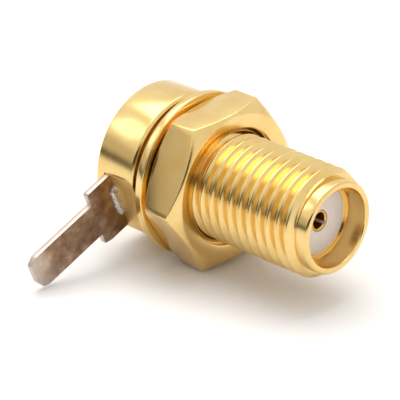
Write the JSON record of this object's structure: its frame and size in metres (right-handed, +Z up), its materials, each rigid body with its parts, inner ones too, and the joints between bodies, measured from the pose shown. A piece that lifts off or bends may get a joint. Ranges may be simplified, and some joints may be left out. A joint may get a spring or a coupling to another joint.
{
  "type": "sma connector",
  "caption": "Threaded coaxial panel jack with a hex nut, a flat washer, a centre contact in a white dielectric and a soldered ground tab.",
  "frame": {"origin": "on the connector's axis, in the plane of the body's front shoulder, where a panel seats", "axes": "+X along the axis to the mating end, +Z up as the part lies on a bench; the ground tab points to -Y and 20.7 degrees below it"},
  "size_m": [0.0166, 0.0158, 0.0096],
  "materials": {
    "gold_plate": "gold plated, semi-gloss turned",
    "contact_gold": "gold plated",
    "ptfe": "waxy matte",
    "tarnished_tab": "tinned strip, tarnished brown",
    "solder": "dull grainy solder"
  },
  "bodies": {
    "jack": {"body_shell": "gold_plate", "dielectric": "ptfe", "center_contact": "contact_gold", "ground_tab": "tarnished_tab", "solder_bead": "solder"},
    "washer": {"washer": "gold_plate"},
    "nut": {"hex_nut": "gold_plate"}
  },
  "joints": [
    {"name": "washer_slide", "type": "slide", "parent": "jack", "child": "washer", "axis": [1, 0, 0], "range_m": [-0.00068, 0.0067]},
    {"name": "nut_turn", "type": "hinge", "parent": "washer", "child": "nut", "pos_m": [0, 0, 0], "axis": [1, 0, 0], "range_deg": [-350, 3420]}
  ],
  "couplings": [
    {"joint": "nut_turn", "follows": "washer_slide", "rad_per_m": 8904.7}
  ]
}
